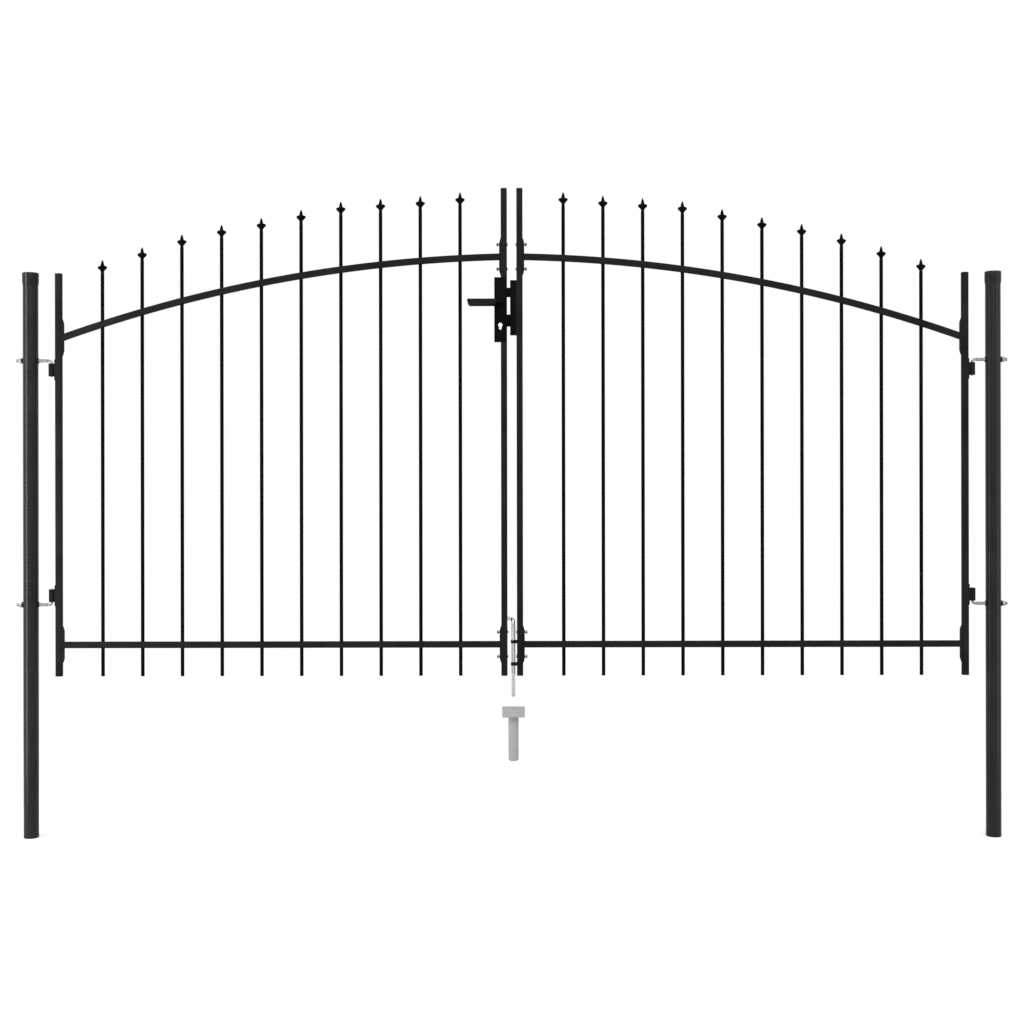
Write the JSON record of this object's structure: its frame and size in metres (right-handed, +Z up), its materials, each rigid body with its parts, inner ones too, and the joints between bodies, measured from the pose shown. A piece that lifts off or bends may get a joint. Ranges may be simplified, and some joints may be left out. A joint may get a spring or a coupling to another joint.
{
  "type": "double driveway gate",
  "caption": "Arched double driveway gate of black steel tube with round pickets, spear tips, lever lock, drop bolt and ground socket, hung on hook bolts between two round capped posts.",
  "frame": {"origin": "middle of the left post's flat foot", "axes": "+X along the gate towards the right post, +Y away from the viewer of the picture, +Z up the post"},
  "size_m": [3.04, 0.0784, 1.989],
  "materials": {
    "black_powder_coat": "satin",
    "black_plastic": "matte",
    "zinc": "satin",
    "grey_plastic": "matte"
  },
  "bodies": {
    "posts": {"left_post": "black_powder_coat", "left_post_cap": "black_plastic", "left_upper_hinge_bolt": "zinc", "left_lower_hinge_bolt": "zinc", "left_hinge_washers": "black_plastic", "left_hinge_nuts": "zinc", "right_post": "black_powder_coat", "right_post_cap": "black_plastic", "right_upper_hinge_bolt": "zinc", "right_lower_hinge_bolt": "zinc", "right_hinge_washers": "black_plastic", "right_hinge_nuts": "zinc", "ground_socket": "grey_plastic"},
    "left_leaf": {"left_hinge_stile": "black_powder_coat", "left_stile_plugs": "black_plastic", "left_top_rail": "black_powder_coat", "left_bottom_rail": "black_powder_coat", "left_pickets": "black_powder_coat", "left_spear_tips": "black_powder_coat", "left_end_plates": "black_powder_coat", "left_hinge_eyes": "black_powder_coat", "left_lock_stile": "black_powder_coat", "lock_case": "black_powder_coat"},
    "lever": {"front_lever": "black_plastic", "rear_lever": "black_plastic", "lever_spindle": "zinc"},
    "latch": {"latch_bolt": "black_powder_coat"},
    "dead_bolt": {"dead_bolt": "black_powder_coat"},
    "right_leaf": {"right_hinge_stile": "black_powder_coat", "right_stile_plugs": "black_plastic", "right_top_rail": "black_powder_coat", "right_bottom_rail": "black_powder_coat", "right_pickets": "black_powder_coat", "right_spear_tips": "black_powder_coat", "right_end_plates": "black_powder_coat", "right_hinge_eyes": "black_powder_coat", "right_meeting_stile": "black_powder_coat", "strike_keep": "black_powder_coat", "drop_bolt_guides": "black_powder_coat"},
    "drop_bolt": {"drop_bolt": "zinc"}
  },
  "joints": [
    {"name": "left_leaf_swing", "type": "hinge", "parent": "posts", "child": "left_leaf", "pos_m": [0.064, 0, 1], "axis": [0, 0, -1], "range_deg": [0, 95]},
    {"name": "right_leaf_swing", "type": "hinge", "parent": "posts", "child": "right_leaf", "pos_m": [2.89, 0, 1], "axis": [0, 0, 1], "range_deg": [0, 95]},
    {"name": "lever_turn", "type": "hinge", "parent": "left_leaf", "child": "lever", "pos_m": [1.442, 0, 1.6395], "axis": [0, -1, 0], "range_deg": [0, 45], "stiffness_Nm_per_rad": 0.6, "springref_deg": -22.92},
    {"name": "latch_slide", "type": "slide", "parent": "left_leaf", "child": "latch", "axis": [-1, 0, 0], "range_m": [0, 0.014]},
    {"name": "dead_bolt_slide", "type": "slide", "parent": "left_leaf", "child": "dead_bolt", "axis": [-1, 0, 0], "range_m": [0, 0.011]},
    {"name": "drop_bolt_slide", "type": "slide", "parent": "right_leaf", "child": "drop_bolt", "axis": [0, 0, 1], "range_m": [-0.054, 0.06]}
  ],
  "couplings": [
    {"joint": "latch_slide", "follows": "lever_turn", "m_per_rad": 0.017698}
  ]
}
